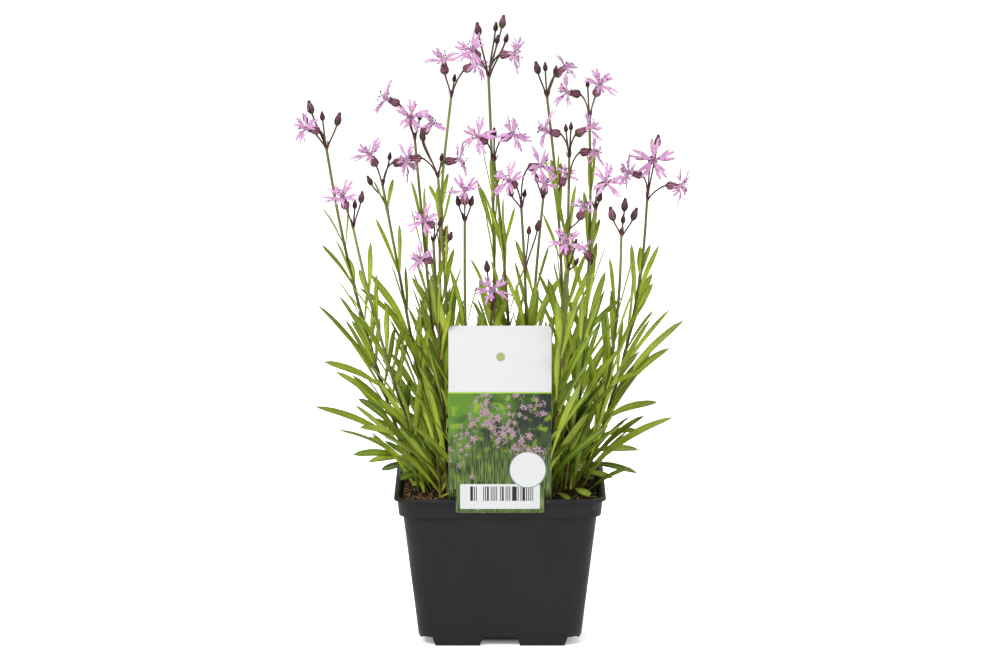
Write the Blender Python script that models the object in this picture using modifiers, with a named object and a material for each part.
"""Potted ragged robin: a square nursery pot, its soil, a plant label, leafy flowering stems and blooms.

The design is written in millimetres and turned to metres when a mesh is made. The origin is on the pot's
axis at the foot of the pot, +Z up, and the label stands at the front, on the -Y side.
"""
import math
import random

import bmesh
import bpy
from mathutils import Matrix, Vector
from mathutils.bvhtree import BVHTree

MM = 0.001
UP = Vector((0, 0, 1))
GAP = 0.3
# How far joined pieces run into each other, and how far a cutter reaches past what it cuts
LAP = 0.5
PAST = 5.0

# Pot
POT_HEIGHT = 80.0
LIP_WIDTH = 110.0
LIP_HEIGHT = 1.8
COLLAR_TOP_WIDTH = 106.5
COLLAR_FOOT_WIDTH = 105.0
COLLAR_FOOT_Z = 69.8
BODY_TOP_WIDTH = 100.6
BODY_FOOT_WIDTH = 84.0
MOUTH_TOP_WIDTH = 104.4
MOUTH_FOOT_WIDTH = 102.0
POT_WALL = 1.6
CORNER_RADIUS = 10.0
FLOOR_Z = 4.8
FLOOR_THICKNESS = 1.2
FOOT_NOTCH_WIDTH = 21.0
FOOT_NOTCH_TOP = 4.6
FOOT_END = 35.0
SIDE_FOOT_END = 20.0
DRAIN_RADIUS = 4.5
DRAIN_REACH = 24.0
DRAIN_SIDES = 8

# Soil
SOIL_EDGE_Z = 74.8
SOIL_CROWN = 3.0
SOIL_CRUMB = 0.5
SOIL_CUTS = 4
ROOT_DEPTH = 10.0
HOLE_SIDES = 5
HOLE_EASE = 0.5
SLOT_EASE = 0.5

# Label
LABEL_WIDTH = 53.0
LABEL_TOP_Z = 171.2
LABEL_CORNER = 2.6
LABEL_THICKNESS = 0.6
TONGUE_WIDTH = 45.4
TONGUE_FOOT_Z = 73.4
LABEL_SPLIT_Z = 86.0
LABEL_SLIT = 0.6
LEG_BEND = 1.0
LEG_SLACK = 0.8
LEG_FOOT_Z = 34.0
LEG_POINT_HEIGHT = 6.0

# Plant
STEM_SIDES = 5
STEM_RADIUS = (1.15, 0.78)
STEM_STEPS = 5
STEM_NECK = 1.0
STEM_SPACING = 3.6
SPACING_ROUNDS = 60
SPACING_LEVELS = 24
SPACING_REACH = 45.0
STALK_RADIUS = 0.62
STALK_STEPS = 2
STALK_STAGGER = 0.37
STALK_SPREAD = 0.6
# Distance from the end of the stalk and radius, along a calyx; a bud's are shares of its length
CALYX = ((2.0, 2.3), (5.4, 1.6))
CALYX_SIDES = 5
BUD = (0.4, 0.27)
BUD_SIDES = 4
BUD_RISE = 0.35
PETALS = 5
PETAL_THICKNESS = 0.7
PETAL_CUP = 24.0
PETAL_SWAY = 15.0
PETAL_TURN = 7.0
PETAL_DROOP = 0.016
THROAT_RADIUS = (1.5, 1.0)
THROAT_LENGTH = 1.3
# Petal outline on one side: distance out from the flower's axis, offset from the petal's midline
SIDE_LOBE = (8.6, 3.2)
SIDE_NOTCH = (5.2, 1.4)
MIDDLE_LOBE = (11.4, 1.6)
MIDDLE_NOTCH = (6.4, 0.0)
# How far the tips and the notches of a petal stray from that, and the share of it sideways
TIP_STRAY = 0.9
NOTCH_STRAY = 0.2
SIDE_STRAY = 0.6
# Distances and directions in which a flower or a bud is moved to find a clear place, nearest first
MOVES = (3, 6, 9, 12)
MOVE_WAYS = ((0, -1, 0), (0, 1, 0), (0, -0.7, 0.5), (0, 0.7, 0.5), (0.5, -0.7, 0), (-0.5, 0.7, 0))
BLOOM_TURNS = 9
BLOOM_TURN = 8.0
BLOOM_MARGIN = 1.03
LEAF_WIDTH = 4.6
LEAF_WIDTHS = (0.85, 1.15)
# Share of its width that a leaf loses for each millimetre that it grows above the soil
LEAF_SLENDER = 0.003
LEAF_DEPTH = (0.675, 0.9)
LEAF_ARCH = 0.15
LEAF_NOD = 0.05
LEAF_ROLL = (35, 65)
LEAF_PROFILE = ((0.0, 0.2), (0.42, 0.8), (0.76, 0.92))
SHORT_LEAF_PROFILE = ((0.0, 0.2), (0.6, 1.0))
ROOT_STAGGER = 0.8
SHORT_LEAF = 62.0
# How often a leaf that isn't clear is tried again, and how far it may turn, rise and shorten for that
LEAF_TRIES = 16
LEAF_SWING = 70.0
LEAF_LIFT = (-0.1, 0.45)
LEAF_SHORTEN = 0.25
CLEARANCE = 0.4

# Each stem: where it leaves the soil, the fork under its flowers, how far it bows sideways, then what it
# carries, measured from the fork. A bloom has its place, the way it faces, its size and how far below the
# fork its stalk starts. A bud has its tip, its length and the same drop. A leaf has the height it grows at,
# and its tip measured from there.
STEMS = [
    dict(base=(-45, 22), fork=(-89, -46, 262), bow=-5,
         blooms=[((-9.4, -2, 10), (-8, -3, 2), 1.0, 0)],
         buds=[((-9, 2, 24), 6.8, 0), ((-12, 5, 17), 4.8, 0), ((-2, -3, 19), 4.8, 0), ((7, 1, 18), 6.8, 0)],
         leaves=[(184, (-17, -6, 24)), (183, (-4, 5, 17)), (170, (-6, -8, 12)), (133, (-33, -4, 41)),
                 (138, (-14, 7, 26)), (128, (-31, -8, 16)), (112, (-30, 5, 23)), (94, (-47, -7, 24)),
                 (116, (-11, -8, 13)), (104, (-21, 7, 16)), (100, (-21, -5, 6)), (88, (-29, -5, 3)),
                 (89, (-21, 9, -4)), (84, (-15, -9, -1))]),
    dict(base=(-37, 6), fork=(-75, -62, 223), bow=-3,
         blooms=[((-5, -2, 15), (-2, -5, 7), 1.0, 0)],
         buds=[((1, 3, 14), 4.8, 0), ((5, -3, 19), 6, 0)],
         leaves=[(186, (1, -4, 28)), (182, (-6, 7, 15)), (118, (-9, -6, 14)), (106, (-18, -3, 20)),
                 (94, (-9, -9, 10)), (85, (-13, -12, -3)), (142, (8, -5, 24))]),
    dict(base=(-33, 17), fork=(-61, -12, 238), bow=0,
         blooms=[((-6, -4, 16), (-3, -3, 6), 1.0, 0), ((12, -2, 12), (9, -2, 0), 0.9, 0)],
         buds=[((-8, 1, 5), 5.4, 8), ((4, 4, 17), 4.2, 0)],
         leaves=[(224, (-7, -4, 16)), (224, (3, 4, 16)), (155, (-27, -4, 28)), (88, (-15, -7, -2)),
                 (112, (2, -5, 18))]),
    dict(base=(-29, 31), fork=(-45, 35, 256), bow=0,
         blooms=[((-14, -3, 22), (-8, -2, 4), 1.0, 0), ((-2, -8, 13), (1, -7, 4), 0.9, 0)],
         buds=[((3, 3, 15), 4.8, 0)], leaves=[]),
    dict(base=(-24, -4), fork=(-32, -25, 244), bow=1,
         blooms=[((-4, -6, 28), (5, -3, 6), 0.95, 0), ((-15, -2, 10), (-9, -3, 0), 0.9, 0),
                 ((10, -2, 9), (9, -2, 1), 0.95, 0)],
         buds=[((-9, 5, 24), 6, 0), ((2, 4, 12), 4.2, 0), ((4, 3, -26), 5.4, 36), ((7, -4, -28), 5.4, 36)],
         leaves=[(226, (4, 4, 20)), (226, (-6, 3, 14))]),
    dict(base=(-22, 43), fork=(-26, 58, 276), bow=-8,
         blooms=[((-4, -2, 19), (-1, -2, 8), 1.0, 0), ((12, -4, 18), (6, -3, 4), 1.0, 0)],
         buds=[((2, 4, 12), 4.2, 0)], leaves=[]),
    dict(base=(-4, 8), fork=(-6, 5, 293), bow=2,
         blooms=[((-8, -5, 14), (-3, -5, 4), 0.95, 0), ((12, -2, 12), (8, -3, 1), 1.0, 0)],
         buds=[((-6, 3, 28), 6.8, 0), ((8, 1, 32), 6.8, 0), ((4, 5, 28), 4.8, 0), ((5, -2, 22), 4.8, 0),
               ((10, 4, 22), 4.8, 0)],
         leaves=[(228, (-5, -3, 26)), (228, (5, 4, 15))]),
    dict(base=(8, -14), fork=(-3, -22, 252), bow=2,
         blooms=[((-8, -4, 13), (-5, -5, 4), 1.0, 0), ((9, -4, 14), (6, -5, 3), 1.0, 0)],
         buds=[((0, 4, 17), 4.8, 0)],
         leaves=[(203, (-7, 2, 25)), (203, (6, -3, 26))]),
    dict(base=(-8, -30), fork=(-4, -34, 176), bow=-1,
         blooms=[((0, -3, 10), (0, -4, 7), 1.0, 0)],
         buds=[((-3, 3, 25), 6, 0)], leaves=[(160, (9, 2, 22)), (160, (-9, -1, 20))]),
    dict(base=(-15, -36), fork=(-18, -54, 225), bow=-1,
         blooms=[((0, -2, 15), (0, -3, 8), 0.95, 0)],
         buds=[((-4, 2, 13), 5.4, 0), ((4, 2, 13), 5.4, 0)], leaves=[]),
    dict(base=(-27, -26), fork=(-34, -64, 216), bow=0,
         blooms=[((-4, -3, 11), (-5, -5, 4), 0.9, 0), ((-6, -5, -8), (-6, -5, 2), 0.85, 24)],
         buds=[((4, 3, 12), 4.8, 0)], leaves=[]),
    dict(base=(31, 41), fork=(25, 62, 276), bow=5,
         blooms=[((9, 3, 15), (6, 2, 5), 0.85, 0), ((10, -5, -42), (3, -3, 6), 0.7, 56)],
         buds=[((-6, -2, 19), 6.8, 0), ((-1, 4, 18), 4.8, 0), ((5, -4, 17), 4.8, 0)],
         leaves=[(226, (-3, 2, 17)), (226, (3, 5, 15))]),
    dict(base=(37, 20), fork=(47, 24, 269), bow=4,
         blooms=[((-11, -3, 14), (-8, -3, 2), 1.0, 0), ((5, -2, 17), (2, -4, 6), 1.0, 0)],
         buds=[((-1, 4, 20), 4.2, 0)],
         leaves=[(243, (-3, -2, 11)), (243, (3, 2, 9)), (197, (6, 4, 18)), (180, (5, 6, 23))]),
    dict(base=(27, -4), fork=(36, -8, 252), bow=2,
         blooms=[((-11, -2, 14), (-8, -2, 2), 1.0, 0), ((9, 3, 15), (7, 2, 4), 1.0, 0),
                 ((12, -5, 4), (8, -2, 1), 0.9, 20), ((7, -5, -26), (2, -3, 7), 0.7, 38)],
         buds=[((1, 5, 18), 4.2, 0), ((-2, -3, 18), 4.2, 0)], leaves=[(141, (36, -8, 42))]),
    dict(base=(13, -30), fork=(11, -38, 230), bow=2,
         blooms=[((9, -3, 22), (7, -5, 2), 1.0, 0), ((-6, -3, 14), (-4, -6, 4), 1.0, 0)],
         buds=[((-7, 3, 11), 6, 0), ((2, 4, 9), 4.2, 0), ((9, -12, -5), 6, 34), ((4, -11, -8), 4.8, 34)],
         leaves=[]),
    dict(base=(15, 30), fork=(23, 48, 223), bow=-2,
         blooms=[((1, -4, 8), (1, -4, 6), 0.75, 0)],
         buds=[((-4, 3, 13), 4.8, 0)], leaves=[]),
    dict(base=(34, -9), fork=(49, -44, 230), bow=1,
         blooms=[((5, -3, 14), (4, -5, 4), 1.0, 0), ((-4, 4, -22), (-3, 1, 4), 0.7, 30)],
         buds=[((3, 4, 8), 4.8, 0)], leaves=[]),
    dict(base=(23, -36), fork=(35, -64, 202), bow=1,
         blooms=[((-1, -3, 13), (0, -4, 7), 1.0, 0)],
         buds=[((4, 3, 15), 4.8, 0), ((5, -3, 6), 4.2, 0)], leaves=[]),
    dict(base=(43.5, 8), fork=(63, -18, 213), bow=5,
         blooms=[],
         buds=[((-6, -3, 15), 7.5, 0), ((2, 2, 19), 6.8, 0), ((1, -3, 11), 4.8, 0), ((8, 1, 14), 6.8, 0)],
         leaves=[(168, (-3, -4, 16)), (129, (18, -5, 9)), (87, (26, -12, -2)), (83, (14, -10, -1))]),
    dict(base=(45, 36), fork=(79, 72, 219), bow=7,
         blooms=[((3, -3, 22), (1, -9, 1), 1.1, 0), ((-9, -3, 15), (-8, -3, 2), 1.0, 0),
                 ((16.7, -2, 8), (9, -2, 0), 1.0, 0)],
         buds=[((6, 3, 35), 6.8, 0)],
         leaves=[(179, (0, -7, 17)), (178, (6, 7, 17)), (152, (12, 3, 24)), (139, (15, -6, 24)),
                 (115, (31, 6, 27)), (111, (13, -7, 23)), (105, (28, 8, 8)), (96, (21, 3, 3)),
                 (88, (25, 12, -1))]),
]

# Leaf pairs that every stem grows by rule: height above the soil, leaf length, lean from upright in degrees
LEAF_PAIRS = ((6, 47, 46), (19, 54, 31), (40, 48, 24), (74, 38, 19))
PAIR_HEADROOM = 42.0
PAIR_TURN = 97.0
# How far a pair strays in height, and a leaf in direction, lean and length
PAIR_STRAY = 2.0
LEAF_TURN = 18.0
LEAF_LEANS = (-7, 9)
LEAF_LENGTHS = (0.82, 1.12)
LEAF_SEED = 700

COLOURS = {
    "pot": ((0.034, 0.034, 0.037), 0.42),
    "soil": ((0.035, 0.02, 0.012), 0.95),
    "label": ((0.86, 0.87, 0.84), 0.35),
    "stem": ((0.17, 0.31, 0.04), 0.55),
    "bloom": ((0.66, 0.3, 0.62), 0.6),
}


class Growth:
    """What is placed so far, kept as search trees, so that new growth can be bent clear of it."""

    def __init__(self):
        self.placed = []

    def add(self, owner, shape):
        """Remember a shape, which is a list of points and a list of faces."""
        self.placed.append((owner, bounds(shape), tree(shape)))

    def is_clear(self, shape, owner=None):
        """Say whether a shape crosses nothing, leaving out what the owner already has."""
        box = bounds(shape)
        searched = tree(shape)
        for other, other_box, other_tree in self.placed:
            if other == owner or not boxes_meet(box, other_box):
                continue
            if searched.overlap(other_tree):
                return False
        return True


def tree(shape):
    """Search tree of a shape."""
    return BVHTree.FromPolygons(shape[0], shape[1])


def bounds(shape):
    """Lowest and highest corner of a shape."""
    low = Vector(min(p[axis] for p in shape[0]) for axis in range(3))
    high = Vector(max(p[axis] for p in shape[0]) for axis in range(3))
    return low, high


def boxes_meet(one, two):
    """Say whether two boxes share any space."""
    return all(one[0][axis] <= two[1][axis] and two[0][axis] <= one[1][axis] for axis in range(3))


def collection(name):
    """New collection in the scene."""
    made = bpy.data.collections.new(name)
    bpy.context.scene.collection.children.link(made)
    return made


def material(name, kind):
    """Plain Principled BSDF material of one kind of piece."""
    colour, roughness = COLOURS[kind]
    made = bpy.data.materials.new(name)
    made.use_nodes = True
    shader = made.node_tree.nodes["Principled BSDF"]
    shader.inputs["Base Color"].default_value = (*colour, 1)
    shader.inputs["Roughness"].default_value = roughness
    shader.inputs["Metallic"].default_value = 0.0
    return made


def object_from(bm, name, where, kind=None):
    """Turn a bmesh in millimetres into an object in metres."""
    bmesh.ops.recalc_face_normals(bm, faces=bm.faces)
    bmesh.ops.scale(bm, vec=(MM, MM, MM), verts=bm.verts)
    mesh = bpy.data.meshes.new(name)
    bm.to_mesh(mesh)
    bm.free()
    made = bpy.data.objects.new(name, mesh)
    where.objects.link(made)
    if kind:
        mesh.materials.append(material(name, kind))
    return made


def object_from_shape(shape, name, where, kind=None):
    """Turn points and faces in millimetres into an object."""
    bm = bmesh.new()
    corners = [bm.verts.new(point) for point in shape[0]]
    for face in shape[1]:
        bm.faces.new([corners[index] for index in face])
    return object_from(bm, name, where, kind)


def shape_of(made):
    """Points in millimetres and faces of an object."""
    points = [vertex.co / MM for vertex in made.data.vertices]
    return points, [list(face.vertices) for face in made.data.polygons]


def block(name, where, widths, heights, kind=None):
    """Square block with rounded upright corners, as wide as stated at its foot and at its top."""
    bm = bmesh.new()
    bmesh.ops.create_cube(bm, size=1.0)
    for vertex in bm.verts:
        level = int(vertex.co.z > 0)
        half = widths[level] / 2
        x, y = math.copysign(half, vertex.co.x), math.copysign(half, vertex.co.y)
        vertex.co = Vector((x, y, heights[level]))
    upright = [edge for edge in bm.edges if abs(edge.verts[0].co.z - edge.verts[1].co.z) > LAP]
    bmesh.ops.bevel(bm, geom=upright, offset=CORNER_RADIUS, segments=3, profile=0.5, affect="EDGES")
    return object_from(bm, name, where, kind)


def box_cutter(name, where, low, high):
    """Plain box between two corners."""
    bm = bmesh.new()
    bmesh.ops.create_cube(bm, size=1.0)
    for vertex in bm.verts:
        vertex.co = Vector(high[i] if vertex.co[i] > 0 else low[i] for i in range(3))
    return object_from(bm, name, where)


def round_cutter(name, where, centre, radius, heights, sides):
    """Upright round cutter."""
    bm = bmesh.new()
    depth = heights[1] - heights[0]
    place = Matrix.Translation((centre[0], centre[1], (heights[0] + heights[1]) / 2))
    bmesh.ops.create_cone(bm, cap_ends=True, segments=sides, radius1=radius, radius2=radius,
                          depth=depth, matrix=place)
    return object_from(bm, name, where)


def combine(made, operation, others, solver="EXACT"):
    """Join or cut an object with every object of a collection, apply it and remove those objects."""
    step = made.modifiers.new(operation.title(), "BOOLEAN")
    step.operation = operation
    step.operand_type = "COLLECTION"
    step.collection = others
    step.solver = solver
    graph = bpy.context.evaluated_depsgraph_get()
    mesh = bpy.data.meshes.new_from_object(made.evaluated_get(graph))
    made.modifiers.clear()
    old = made.data
    made.data = mesh
    name = old.name
    bpy.data.meshes.remove(old)
    mesh.name = name
    for other in list(others.objects):
        bpy.data.objects.remove(other)
    bpy.data.collections.remove(others)


def helpers(name):
    """Collection of cutters or of pieces that are joined to another."""
    made = collection(name)
    made.hide_render = True
    return made


def inner_width(height):
    """Clear width inside the pot's body at a height."""
    share = height / COLLAR_FOOT_Z
    return BODY_FOOT_WIDTH + (BODY_TOP_WIDTH - BODY_FOOT_WIDTH) * share - 2 * POT_WALL


def build_pot(parts):
    """Moulded pot: tapering body, collar and lip, hollowed, with feet cut from its skirt."""
    pot = block("pot", parts, (BODY_FOOT_WIDTH, BODY_TOP_WIDTH), (0, COLLAR_FOOT_Z + LAP), "pot")
    rings = helpers("pot_rings")
    lip_foot = POT_HEIGHT - LIP_HEIGHT
    block("collar", rings, (COLLAR_FOOT_WIDTH, COLLAR_TOP_WIDTH), (COLLAR_FOOT_Z, lip_foot + LAP))
    block("lip", rings, (LIP_WIDTH, LIP_WIDTH), (lip_foot, POT_HEIGHT))
    combine(pot, "UNION", rings)

    hollow = helpers("pot_hollow")
    floor_top = FLOOR_Z + FLOOR_THICKNESS
    shoulder = COLLAR_FOOT_Z + POT_WALL
    block("cavity", hollow, (inner_width(floor_top), inner_width(shoulder)), (floor_top, shoulder + LAP))
    block("mouth", hollow, (MOUTH_FOOT_WIDTH, MOUTH_TOP_WIDTH), (shoulder, POT_HEIGHT + LAP))
    block("undercut", hollow, (BODY_FOOT_WIDTH - 2 * POT_WALL,) * 2, (-PAST, FLOOR_Z))
    combine(pot, "DIFFERENCE", hollow)

    notches = helpers("pot_notches")
    half = FOOT_NOTCH_WIDTH / 2
    reach = BODY_FOOT_WIDTH / 2 + PAST
    box_cutter("notch_x", notches, (-reach, -half, -PAST), (reach, half, FOOT_NOTCH_TOP))
    box_cutter("notch_y", notches, (-half, -reach, -PAST), (half, reach, FOOT_NOTCH_TOP))
    for side_x in (-1, 1):
        for side_y in (-1, 1):
            xs = sorted((side_x * FOOT_END, side_x * reach))
            ys = sorted((side_y * SIDE_FOOT_END, side_y * reach))
            box_cutter("corner", notches, (xs[0], ys[0], -PAST), (xs[1], ys[1], FOOT_NOTCH_TOP))
            drain = (side_x * DRAIN_REACH, side_y * DRAIN_REACH)
            round_cutter("drain", notches, drain, DRAIN_RADIUS, (0, floor_top + LAP), DRAIN_SIDES)
    combine(pot, "DIFFERENCE", notches)
    return pot


def soil_height(x, y, wobble):
    """Height of the soil: a low mound, uneven by the wobble given."""
    half = COLLAR_FOOT_WIDTH / 2
    fall = max(0.0, 1 - (x * x + y * y) / (half * half))
    return SOIL_EDGE_Z + SOIL_CROWN * fall + SOIL_CRUMB * wobble


def build_soil(parts, bases):
    """Soil that fills the pot, with a plain hole for each stem and a slot for each leg of the label."""
    shoulder = COLLAR_FOOT_Z + POT_WALL + GAP
    mouth = MOUTH_FOOT_WIDTH - 2 * GAP
    foot_z = FLOOR_Z + FLOOR_THICKNESS + GAP
    widths = (inner_width(foot_z) - 2 * GAP, inner_width(shoulder) - 2 * GAP)
    chance = random.Random(11)
    bm = bmesh.new()
    bmesh.ops.create_grid(bm, x_segments=SOIL_CUTS + 1, y_segments=SOIL_CUTS + 1, size=mouth / 2)
    for vertex in bm.verts:
        x, y = vertex.co.x, vertex.co.y
        vertex.co.z = soil_height(x, y, chance.uniform(-1, 1))
    bmesh.ops.triangulate(bm, faces=bm.faces)
    skirt = bmesh.ops.extrude_face_region(bm, geom=list(bm.faces))
    for part in skirt["geom"]:
        if isinstance(part, bmesh.types.BMVert):
            part.co.z = shoulder
    soil = object_from(bm, "soil", parts, "soil")

    trim = helpers("soil_trim")
    block("rounded", trim, (mouth, mouth), (foot_z, POT_HEIGHT + PAST))
    combine(soil, "INTERSECT", trim)
    lower = helpers("soil_lower")
    block("lower", lower, widths, (foot_z, shoulder + LAP))
    combine(soil, "UNION", lower)

    holes = helpers("soil_holes")
    for x, y in bases:
        level = soil_height(x, y, 0)
        heights = (level - ROOT_DEPTH - GAP, level + PAST)
        round_cutter("hole", holes, (x, y), STEM_RADIUS[0] + HOLE_EASE, heights, HOLE_SIDES)
    for side in (-1, 1):
        xs = sorted((side * (TONGUE_WIDTH / 2 - SLOT_EASE), side * (LABEL_WIDTH / 2 + SLOT_EASE)))
        rings = []
        for height in (LEG_FOOT_Z - SLOT_EASE, shoulder, POT_HEIGHT + PAST):
            inner = leg_y(min(height, shoulder)) + LABEL_THICKNESS / 2 + GAP
            corners = ((xs[0], -LIP_WIDTH), (xs[1], -LIP_WIDTH), (xs[1], inner), (xs[0], inner))
            rings.append([Vector((x, y, height)) for x, y in corners])
        object_from_shape(loft(rings), "slot", holes)
    combine(soil, "DIFFERENCE", holes)
    return soil


def leg_y(height):
    """Where the label's legs run, close inside the pot's wall."""
    width = inner_width(height) if height < POT_HEIGHT else MOUTH_TOP_WIDTH
    return LEG_SLACK - width / 2


def build_label(parts):
    """Plastic label: panel and tongue just outside the lip, and two legs that step back over it."""
    front = -(LIP_WIDTH / 2 + GAP + LABEL_THICKNESS / 2)
    half = LABEL_WIDTH / 2
    inner = TONGUE_WIDTH / 2
    leg_inner = inner + LABEL_SLIT
    bm = bmesh.new()

    def corner(x, y, z):
        return bm.verts.new((x, y, z))

    top = []
    for side, turns in ((1, range(0, 91, 30)), (-1, range(90, 181, 30))):
        for degrees in turns:
            angle = math.radians(degrees)
            x = side * (half - LABEL_CORNER) + LABEL_CORNER * math.cos(angle)
            z = LABEL_TOP_Z - LABEL_CORNER + LABEL_CORNER * math.sin(angle)
            top.append(corner(x, front, z))
    split = [corner(x, front, LABEL_SPLIT_Z) for x in (-half, -leg_inner, -inner, inner, leg_inner, half)]
    bm.faces.new(top + split)
    foot = [corner(inner, front, TONGUE_FOOT_Z), corner(-inner, front, TONGUE_FOOT_Z)]
    bm.faces.new([split[3], split[2], foot[1], foot[0]])
    bends = (POT_HEIGHT + LEG_BEND, COLLAR_FOOT_Z + POT_WALL + LAP, LEG_FOOT_Z + LEG_POINT_HEIGHT)
    for outer, near, x_outer, x_near in ((split[0], split[1], -half, -leg_inner),
                                         (split[5], split[4], half, leg_inner)):
        above = (outer, near)
        for height in bends:
            level = height if height > POT_HEIGHT else min(height, COLLAR_FOOT_Z)
            below = (corner(x_outer, leg_y(level), height), corner(x_near, leg_y(level), height))
            bm.faces.new((above[0], above[1], below[1], below[0]))
            above = below
        point = corner((x_outer + x_near) / 2, leg_y(LEG_FOOT_Z), LEG_FOOT_Z)
        bm.faces.new((above[0], above[1], point))
    bmesh.ops.recalc_face_normals(bm, faces=bm.faces)
    label = object_from(bm, "label", parts, "label")
    wall = label.modifiers.new("Thickness", "SOLIDIFY")
    wall.thickness = LABEL_THICKNESS * MM
    wall.offset = 0.0
    return label


def loft(rings, tip=None):
    """Closed shape through rings of points, capped at its foot, and capped or pointed at its top."""
    sides = len(rings[0])
    points = [point for ring in rings for point in ring]
    faces = [list(range(sides))[::-1]]
    for level in range(len(rings) - 1):
        for side in range(sides):
            after = (side + 1) % sides
            low, high = level * sides, (level + 1) * sides
            faces.append([low + side, low + after, high + after, high + side])
    last = (len(rings) - 1) * sides
    if tip is None:
        faces.append([last + side for side in range(sides)])
    else:
        points.append(tip)
        for side in range(sides):
            faces.append([last + side, last + (side + 1) % sides, len(points) - 1])
    return points, faces


def tube(path, radii, sides, tip=None):
    """Closed tube along a path, with a radius for each point, capped or pointed at its end."""
    rings = []
    across = Vector((1, 0, 0))
    for index, point in enumerate(path):
        ahead = path[min(index + 1, len(path) - 1)] - path[max(index - 1, 0)]
        ahead.normalize()
        across = (across - ahead * across.dot(ahead)).normalized()
        other = ahead.cross(across)
        turns = [2 * math.pi * side / sides for side in range(sides)]
        rings.append([point + (across * math.cos(a) + other * math.sin(a)) * radii[index] for a in turns])
    return loft(rings, tip)


def stem_tube(path, margin=0.0):
    """Stem along its path, a little thinner towards its fork."""
    thick, thin = STEM_RADIUS
    taper = (thin - thick) / (len(path) - 1)
    return tube(path, [thick + taper * index + margin for index in range(len(path))], STEM_SIDES)


def curve(start, leave, arrive, end, steps):
    """Points on a smooth curve that leaves its start and reaches its end in the directions stated."""
    reach = (end - start).length / 3
    first, second = start + leave.normalized() * reach, end - arrive.normalized() * reach
    points = []
    for step in range(steps + 1):
        t = step / steps
        s = 1 - t
        points.append(start * s ** 3 + first * 3 * s * s * t + second * 3 * s * t * t + end * t ** 3)
    return points


def point_at(path, height):
    """Point and direction of a rising path at a height."""
    for below, above in zip(path, path[1:]):
        if above.z >= height:
            break
    share = max(0.0, min(1.0, (height - below.z) / (above.z - below.z)))
    return below.lerp(above, share), (above - below).normalized()


def stem_path(stem):
    """Path of a stem from its root in the soil to its fork."""
    base = Vector((*stem["base"], 0))
    base.z = soil_height(base.x, base.y, 0) + STEM_NECK
    fork = Vector(stem["fork"])
    middle = (base + fork) / 2 + Vector((stem["bow"], 0, 0)) * 2
    path = [base - UP * (ROOT_DEPTH + STEM_NECK)]
    for step in range(STEM_STEPS + 1):
        t = step / STEM_STEPS
        path.append(base * (1 - t) ** 2 + middle * 2 * t * (1 - t) + fork * t * t)
    return path


def space_out(paths):
    """Bend stems forwards and back until they pass each other, without moving them sideways."""
    for _ in range(SPACING_ROUNDS):
        for first in range(len(paths)):
            for second in range(first + 1, len(paths)):
                low = max(paths[first][1].z, paths[second][1].z)
                high = min(paths[first][-1].z, paths[second][-1].z)
                for level in range(SPACING_LEVELS + 1):
                    height = low + (high - low) * level / SPACING_LEVELS
                    apart = point_at(paths[second], height)[0] - point_at(paths[first], height)[0]
                    short = STEM_SPACING - apart.length
                    if short > 0:
                        push = math.copysign(short / 3, apart.y)
                        nudge(paths[first], height, -push)
                        nudge(paths[second], height, push)


def nudge(path, height, push):
    """Move a path's points near a height forwards or back, but neither its foot nor its fork."""
    for point in path[2:-1]:
        point.y += push * max(0.0, 1 - abs(point.z - height) / SPACING_REACH)


def leaf(root, tip, width, plain, roll, margin=0.0):
    """Leaf with a keel: three edges from its root to its pointed tip, and its face rolled forwards."""
    span = tip - root
    flat = Vector((span.x, span.y, 0))
    turn = math.radians(roll) * flat.normalized().x
    middle = (root + tip) / 2 + UP * flat.length * LEAF_ARCH - flat * LEAF_NOD
    rings = []
    profile = SHORT_LEAF_PROFILE if span.length < SHORT_LEAF and plain else LEAF_PROFILE
    for share, part in profile:
        rest = 1 - share
        point = root * rest * rest + middle * 2 * share * rest + tip * share * share
        ahead = ((middle - root) * rest + (tip - middle) * share).normalized()
        across = Matrix.Rotation(turn, 3, ahead) @ ahead.cross(UP).normalized()
        top = across.cross(ahead)
        side = across * (width * part / 2 + margin)
        depth = LEAF_DEPTH[0] + (LEAF_DEPTH[1] - LEAF_DEPTH[0]) * part
        lift = top * margin
        rings.append([point + side + lift, point - side + lift, point - top * (depth + margin)])
    return loft(rings, tip + span.normalized() * margin)


def petal_point(spot, centre, axis, outward, cup):
    """Place a point of a petal's flat outline on the cupped petal."""
    side = axis.cross(outward)
    rise = math.sin(cup) * spot[0] - PETAL_DROOP * spot[0] ** 2
    return centre + outward * spot[0] * math.cos(cup) + axis * rise + side * spot[1]


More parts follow.
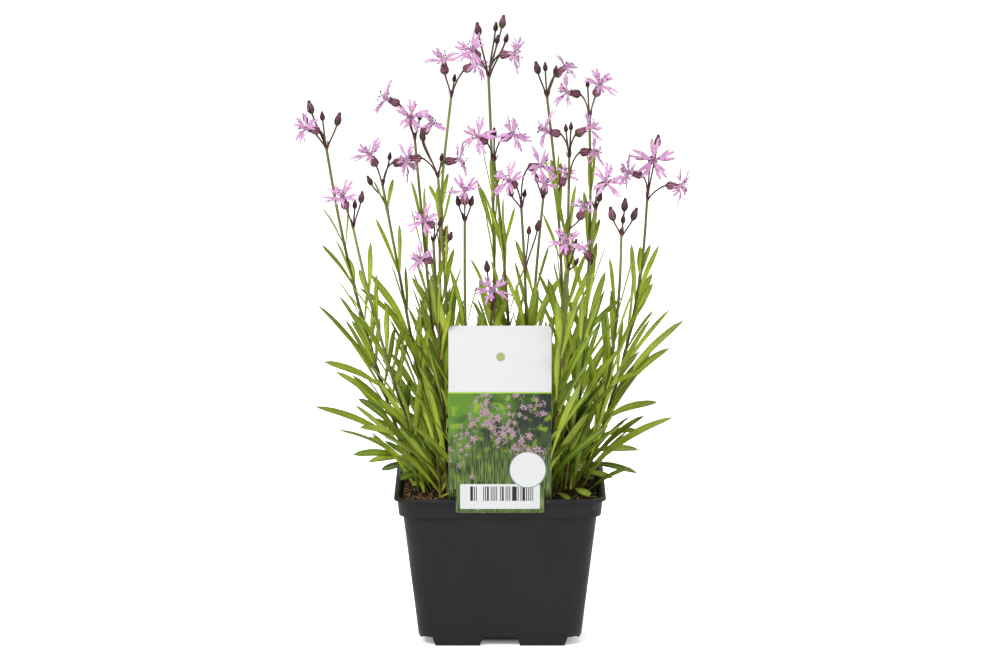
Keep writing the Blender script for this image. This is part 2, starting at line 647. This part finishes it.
def corolla(base, axis, size, turn, seed, margin=0.0):
    """Ring of five ragged petals, each cut into two long and two short lobes, above a short throat."""
    chance = random.Random(seed)
    centre = base + axis * (THROAT_LENGTH + PETAL_THICKNESS)
    start = axis.orthogonal().normalized()
    other = axis.cross(start)

    def outward(angle):
        return start * math.cos(angle) + other * math.sin(angle)

    step = 2 * math.pi / PETALS
    hub = [centre + outward(turn + step * (k - 0.5)) * THROAT_RADIUS[0] for k in range(PETALS)]
    top = list(hub)
    down = [axis * -1 for _ in hub]
    flat = [list(range(PETALS))]
    outline = []
    for k in range(PETALS):
        way = outward(turn + step * k + math.radians(chance.uniform(-PETAL_TURN, PETAL_TURN)))
        cup = math.radians(PETAL_CUP + chance.uniform(-PETAL_SWAY, PETAL_SWAY))
        below = (way * math.sin(cup) - axis * math.cos(cup)).normalized()
        spots = [(SIDE_LOBE, -1), (SIDE_NOTCH, -1), (MIDDLE_LOBE, -1), (MIDDLE_NOTCH, 1),
                 (MIDDLE_LOBE, 1), (SIDE_NOTCH, 1), (SIDE_LOBE, 1)]
        first = len(top)
        for place, sign in spots:
            stray = TIP_STRAY if place in (SIDE_LOBE, MIDDLE_LOBE) else NOTCH_STRAY
            out = place[0] + chance.uniform(-stray, stray)
            aside = sign * place[1] + chance.uniform(-stray, stray) * SIDE_STRAY
            point = petal_point((out * size, aside * size), centre, axis, way, cup)
            top.append(point + axis * chance.uniform(-stray, stray) * size)
            down.append(below)
        a, b = k, (k + 1) % PETALS
        t1, n1, t2, n0, t3, n2, t4 = range(first, first + 7)
        flat += [[a, t1, n1], [n1, t2, n0], [n0, t3, n2], [n2, t4, b], [a, n1, n0], [a, n0, b], [b, n0, n2]]
        outline += [a, t1, n1, t2, n0, t3, n2, t4]
    count = len(top)
    points = [point + axis * margin for point in top]
    points += [point + way * (PETAL_THICKNESS + margin) for point, way in zip(top, down)]
    faces = [list(face) for face in flat]
    faces += [[count + index for index in reversed(face)] for face in flat[1:]]
    for near, far in zip(outline, outline[1:] + outline[:1]):
        faces.append([near, count + near, count + far])
        faces.append([near, count + far, far])
    throat = len(points)
    for k in range(PETALS):
        points.append(base + outward(turn + step * (k - 0.5)) * THROAT_RADIUS[1])
    for k in range(PETALS):
        after = (k + 1) % PETALS
        faces.append([count + k, throat + k, throat + after, count + after])
    faces.append([throat + k for k in reversed(range(PETALS))])
    return points, faces


def facing(direction):
    """Unit vector of a direction."""
    return Vector(direction).normalized()


def shifts():
    """Ways to move a flower clear, nearest first: forwards and back, then up."""
    yield Vector((0, 0, 0))
    for distance in MOVES:
        for way in MOVE_WAYS:
            yield Vector(way) * distance


def flower_stalk(path, drop, base, axis, profile, sides, tip=None):
    """Stalk that leaves a stem at or below its fork and swells into a calyx or a bud."""
    start, along = point_at(path, path[-1].z - drop)
    toward = (base - start).normalized()
    points = curve(start, along + toward * STALK_SPREAD, axis + toward, base, STALK_STEPS)
    radii = [STALK_RADIUS] * len(points)
    for distance, radius in profile:
        points.append(base + axis * distance)
        radii.append(radius)
    return tube(points, radii, sides, tip)


def place_bloom(growth, stem_name, path, spec, number):
    """Find a clear place for a flower, and give its stalk with the calyx, and its corolla."""
    offset, way, size, drop = spec
    axis = facing(way)
    length = CALYX[-1][0]
    for move in shifts():
        seat = path[-1] + Vector(offset) + move - axis * THROAT_LENGTH
        base = seat - axis * (length + GAP)
        calyx = flower_stalk(path, drop, base, axis, CALYX, CALYX_SIDES)
        if not growth.is_clear(calyx, stem_name):
            continue
        for turn in range(BLOOM_TURNS):
            angle = math.radians(BLOOM_TURN * turn)
            wide = corolla(seat, axis, size * BLOOM_MARGIN, angle, number, CLEARANCE)
            if growth.is_clear(wide):
                return calyx, corolla(seat, axis, size, angle, number)
    raise ValueError(f"no clear place for bloom {number}")


def place_bud(growth, stem_name, path, spec):
    """Find a clear place for a bud, and give its stalk with the bud."""
    offset, length, drop = spec
    for move in shifts():
        tip = path[-1] + Vector(offset) + move
        start = point_at(path, path[-1].z - drop)[0]
        axis = ((tip - start).normalized() + UP * BUD_RISE).normalized()
        base = tip - axis * length
        belly = ((length * BUD[0], length * BUD[1]),)
        bud = flower_stalk(path, drop, base, axis, belly, BUD_SIDES, tip)
        if growth.is_clear(bud, stem_name):
            return bud
    raise ValueError(f"no clear place for a bud on {stem_name}")


def place_leaf(growth, stem_name, root, tip, width, plain, roll, chance):
    """Bend a leaf clear of everything else by turning and raising it, or give none."""
    span = tip - root
    for attempt in range(LEAF_TRIES):
        bend = attempt / LEAF_TRIES
        turn = Matrix.Rotation(math.radians(chance.uniform(-LEAF_SWING, LEAF_SWING) * bend), 3, "Z")
        trial = turn @ span
        trial.z += chance.uniform(*LEAF_LIFT) * bend * span.length
        trial *= span.length / trial.length * (1 - LEAF_SHORTEN * bend)
        if growth.is_clear(leaf(root, root + trial, width, plain, roll, CLEARANCE), stem_name):
            return leaf(root, root + trial, width, plain, roll)
    return None


def ruled_leaves(path, chance):
    """Roots and tips of the leaf pairs that a stem grows by rule, each pair turned from the last."""
    soil = path[1].z
    azimuth = chance.uniform(0, 180)
    for height, length, lean in LEAF_PAIRS:
        azimuth += PAIR_TURN
        level = soil + height + chance.uniform(-PAIR_STRAY, PAIR_STRAY)
        if level > path[-1].z - PAIR_HEADROOM:
            break
        for side in (0, 180):
            root, along = point_at(path, level + chance.uniform(-ROOT_STAGGER, ROOT_STAGGER))
            angle = math.radians(azimuth + side + chance.uniform(-LEAF_TURN, LEAF_TURN))
            lean_now = math.radians(lean + chance.uniform(*LEAF_LEANS))
            out = Vector((math.cos(angle), math.sin(angle), 0))
            reach = length * chance.uniform(*LEAF_LENGTHS)
            yield root, root + (out * math.sin(lean_now) + along * math.cos(lean_now)) * reach


def main():
    """Build every piece."""
    for made in list(bpy.data.objects):
        bpy.data.objects.remove(made)
    parts = collection("potted_ragged_robin")
    pot = build_pot(parts)
    soil = build_soil(parts, [stem["base"] for stem in STEMS])
    label = build_label(parts)

    paths = [stem_path(stem) for stem in STEMS]
    space_out(paths)
    growth = Growth()
    for made in (pot, label, soil):
        bpy.context.view_layer.update()
        graph = bpy.context.evaluated_depsgraph_get()
        growth.add(made.name, shape_of(made.evaluated_get(graph)))
    names = [f"stem_{number:02d}" for number in range(1, len(STEMS) + 1)]
    pieces = {name: [] for name in names}

    def keep(name, shape):
        pieces[name].append(shape)
        growth.add(name, shape)

    for name, path in zip(names, paths):
        pieces[name].append(stem_tube(path))
        growth.add(name, stem_tube(path[1:], CLEARANCE))

    bloom_number = 0
    for name, path, stem in zip(names, paths, STEMS):
        for order, spec in enumerate(stem["blooms"]):
            bloom_number += 1
            spec = (*spec[:3], spec[3] + STALK_STAGGER * (order + 1))
            calyx, flower = place_bloom(growth, name, path, spec, bloom_number)
            keep(name, calyx)
            bloom_name = f"bloom_{bloom_number:02d}"
            growth.add(bloom_name, flower)
            object_from_shape(flower, bloom_name, parts, "bloom")
    for name, path, stem in zip(names, paths, STEMS):
        for order, spec in enumerate(stem["buds"]):
            spec = (*spec[:2], spec[2] + STALK_STAGGER * (order + 4))
            keep(name, place_bud(growth, name, path, spec))

    leaf_number = 0
    for number, (name, path, stem) in enumerate(zip(names, paths, STEMS)):
        chance = random.Random(number)
        wanted = []
        for height, offset in stem["leaves"]:
            root = point_at(path, height + chance.uniform(-ROOT_STAGGER, ROOT_STAGGER))[0]
            wanted.append((root, root + Vector(offset), False))
        wanted += [(root, tip, True) for root, tip in ruled_leaves(path, chance)]
        for root, tip, plain in wanted:
            leaf_number += 1
            own_chance = random.Random(LEAF_SEED + leaf_number)
            width = LEAF_WIDTH * own_chance.uniform(*LEAF_WIDTHS)
            width *= 1 - LEAF_SLENDER * (root.z - SOIL_EDGE_Z)
            roll = own_chance.uniform(*LEAF_ROLL)
            shape = place_leaf(growth, name, root, tip, width, plain, roll, own_chance)
            if shape:
                keep(name, shape)
    for name in names:
        made = object_from_shape(pieces[name][0], name, parts, "stem")
        others = helpers(name + "_growth")
        for number, shape in enumerate(pieces[name][1:]):
            object_from_shape(shape, f"{name}_piece_{number}", others)
        combine(made, "UNION", others, "MANIFOLD")


main()
